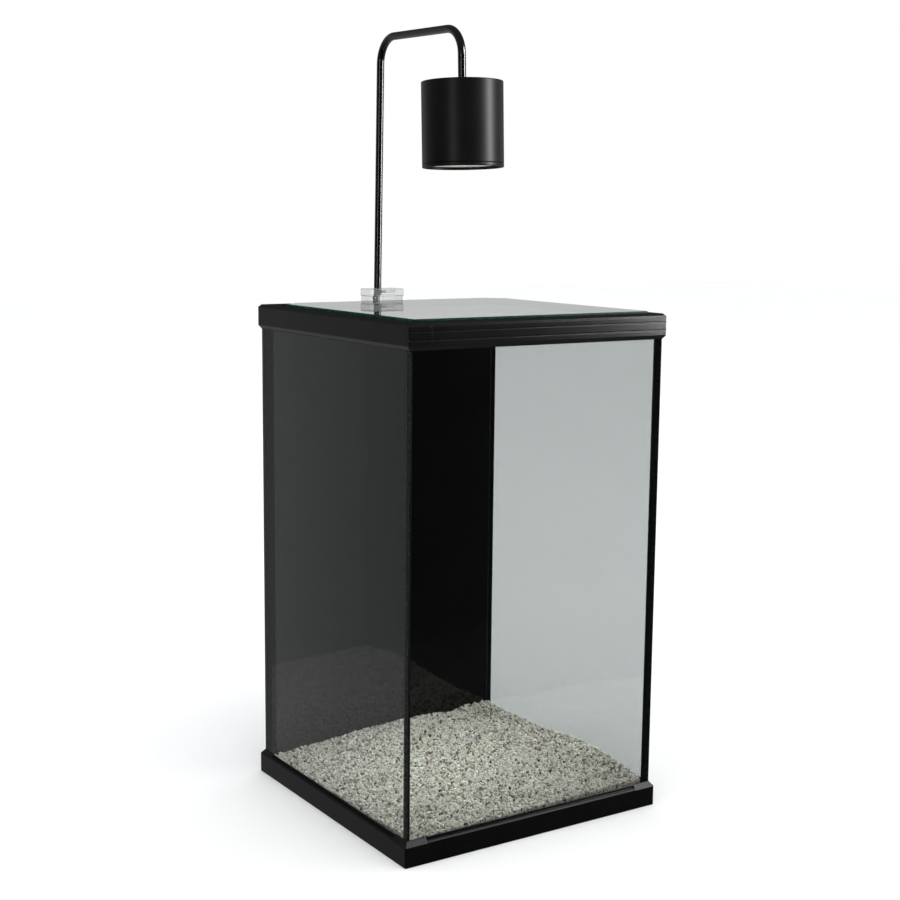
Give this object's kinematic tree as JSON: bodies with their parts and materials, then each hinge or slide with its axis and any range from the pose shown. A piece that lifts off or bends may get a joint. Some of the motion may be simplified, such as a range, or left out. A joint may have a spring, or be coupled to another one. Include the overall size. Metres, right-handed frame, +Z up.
{
  "type": "aquarium tank with clip-on lamp",
  "caption": "Tall square glass tank in black trim with a lift-off glass cover, a gravel bed and a cylinder lamp on a bent tube clipped to the back rail.",
  "frame": {"origin": "centre of the base, on the surface that the tank stands on", "axes": "+Z up, -Y to the front, +X to the right seen from the front"},
  "size_m": [0.3024, 0.3024, 0.7909],
  "materials": {
    "trim": "fine moulded black",
    "pane": "clear float glass with a green edge",
    "back_glass": "glossy black glass",
    "silicone": "black silicone",
    "gravel": "fine light grey and beige grains",
    "clear_plastic": "clear moulding",
    "lamp_gloss": "gloss black",
    "lamp_satin": "satin black",
    "steel": "plated",
    "brass": "turned",
    "rubber": "soft black",
    "knob": "moulded black",
    "sink": "die-cast",
    "board": "white lacquered board",
    "led": "phosphor",
    "reflector": "white reflector",
    "diffuser": "opal, cream white when off"
  },
  "bodies": {
    "tank": {"bottom_rail_front": "trim", "bottom_rail_back": "trim", "bottom_rail_left": "trim", "bottom_rail_right": "trim", "bottom_cap_front_left": "trim", "bottom_cap_front_right": "trim", "bottom_cap_back_right": "trim", "bottom_cap_back_left": "trim", "top_rail_front": "trim", "top_rail_back": "trim", "top_rail_left": "trim", "top_rail_right": "trim", "top_cap_front_left": "trim", "top_cap_front_right": "trim", "top_cap_back_right": "trim", "top_cap_back_left": "trim", "front_pane": "pane", "back_pane": "back_glass", "left_pane": "pane", "right_pane": "pane", "floor_pane": "pane", "silicone_seams": "silicone", "gravel": "gravel"},
    "cover": {"glass_cover": "pane"},
    "clamp": {"clamp_body": "clear_plastic", "clamp_insert": "brass", "grub_screw": "steel", "cable_gland": "rubber"},
    "pad": {"pressure_pad": "rubber"},
    "screw": {"clamp_screw": "steel", "clamp_knob": "knob"},
    "lamp": {"lamp_tube": "lamp_gloss", "lamp_shade": "lamp_satin", "tube_washer": "steel", "tube_nut": "steel", "heat_sink": "sink", "led_board": "board", "led_chips": "led", "board_screws": "steel", "reflector": "reflector", "diffuser": "diffuser", "bezel_ring": "lamp_satin"}
  },
  "joints": [
    {"name": "cover_lift", "type": "slide", "parent": "tank", "child": "cover", "axis": [0, 0, 1], "range_m": [0, 0.12]},
    {"name": "clamp_slide", "type": "slide", "parent": "tank", "child": "clamp", "axis": [1, 0, 0], "range_m": [-0.09, 0.09]},
    {"name": "pad_travel", "type": "slide", "parent": "clamp", "child": "pad", "axis": [0, 0, -1], "range_m": [0, 0.0024]},
    {"name": "screw_turn", "type": "hinge", "parent": "pad", "child": "screw", "pos_m": [-0.0065, 0.1338, 0.49], "axis": [0, 0, -1], "range_deg": [0, 1080]},
    {"name": "lamp_swivel", "type": "hinge", "parent": "clamp", "child": "lamp", "pos_m": [-0.0085, 0.144, 0.516], "axis": [0, -0.0209, 0.9998], "range_deg": [-90, 90]}
  ],
  "couplings": [
    {"joint": "screw_turn", "follows": "pad_travel", "rad_per_m": 7854}
  ]
}
